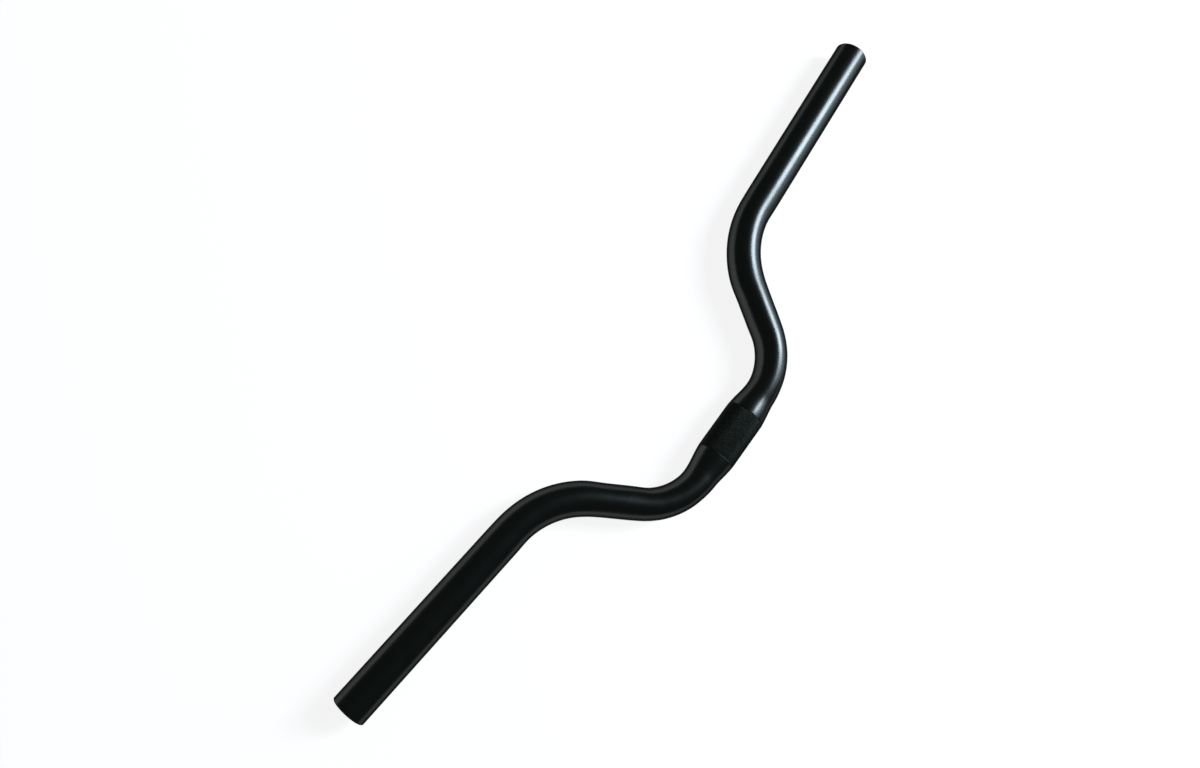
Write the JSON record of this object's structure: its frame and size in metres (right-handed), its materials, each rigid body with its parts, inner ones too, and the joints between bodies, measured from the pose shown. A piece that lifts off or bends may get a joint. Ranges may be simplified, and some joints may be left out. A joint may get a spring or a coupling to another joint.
{
  "type": "bicycle handlebar",
  "caption": "Riser handlebar: one bent alloy tube with a thicker knurled middle for the stem, rises to both sides and straight open ends for grips.",
  "frame": {"origin": "centre of the middle of the bar, where the stem clamps", "axes": "+X along the bar, +Y the way the grips rise, +Z square to the plane that the bar lies in; the bar lies flat, as in the picture"},
  "size_m": [0.5234, 0.1088, 0.0254],
  "materials": {
    "tube": "satin black anodised"
  },
  "bodies": {
    "root": {"handlebar": "tube"}
  },
  "joints": []
}
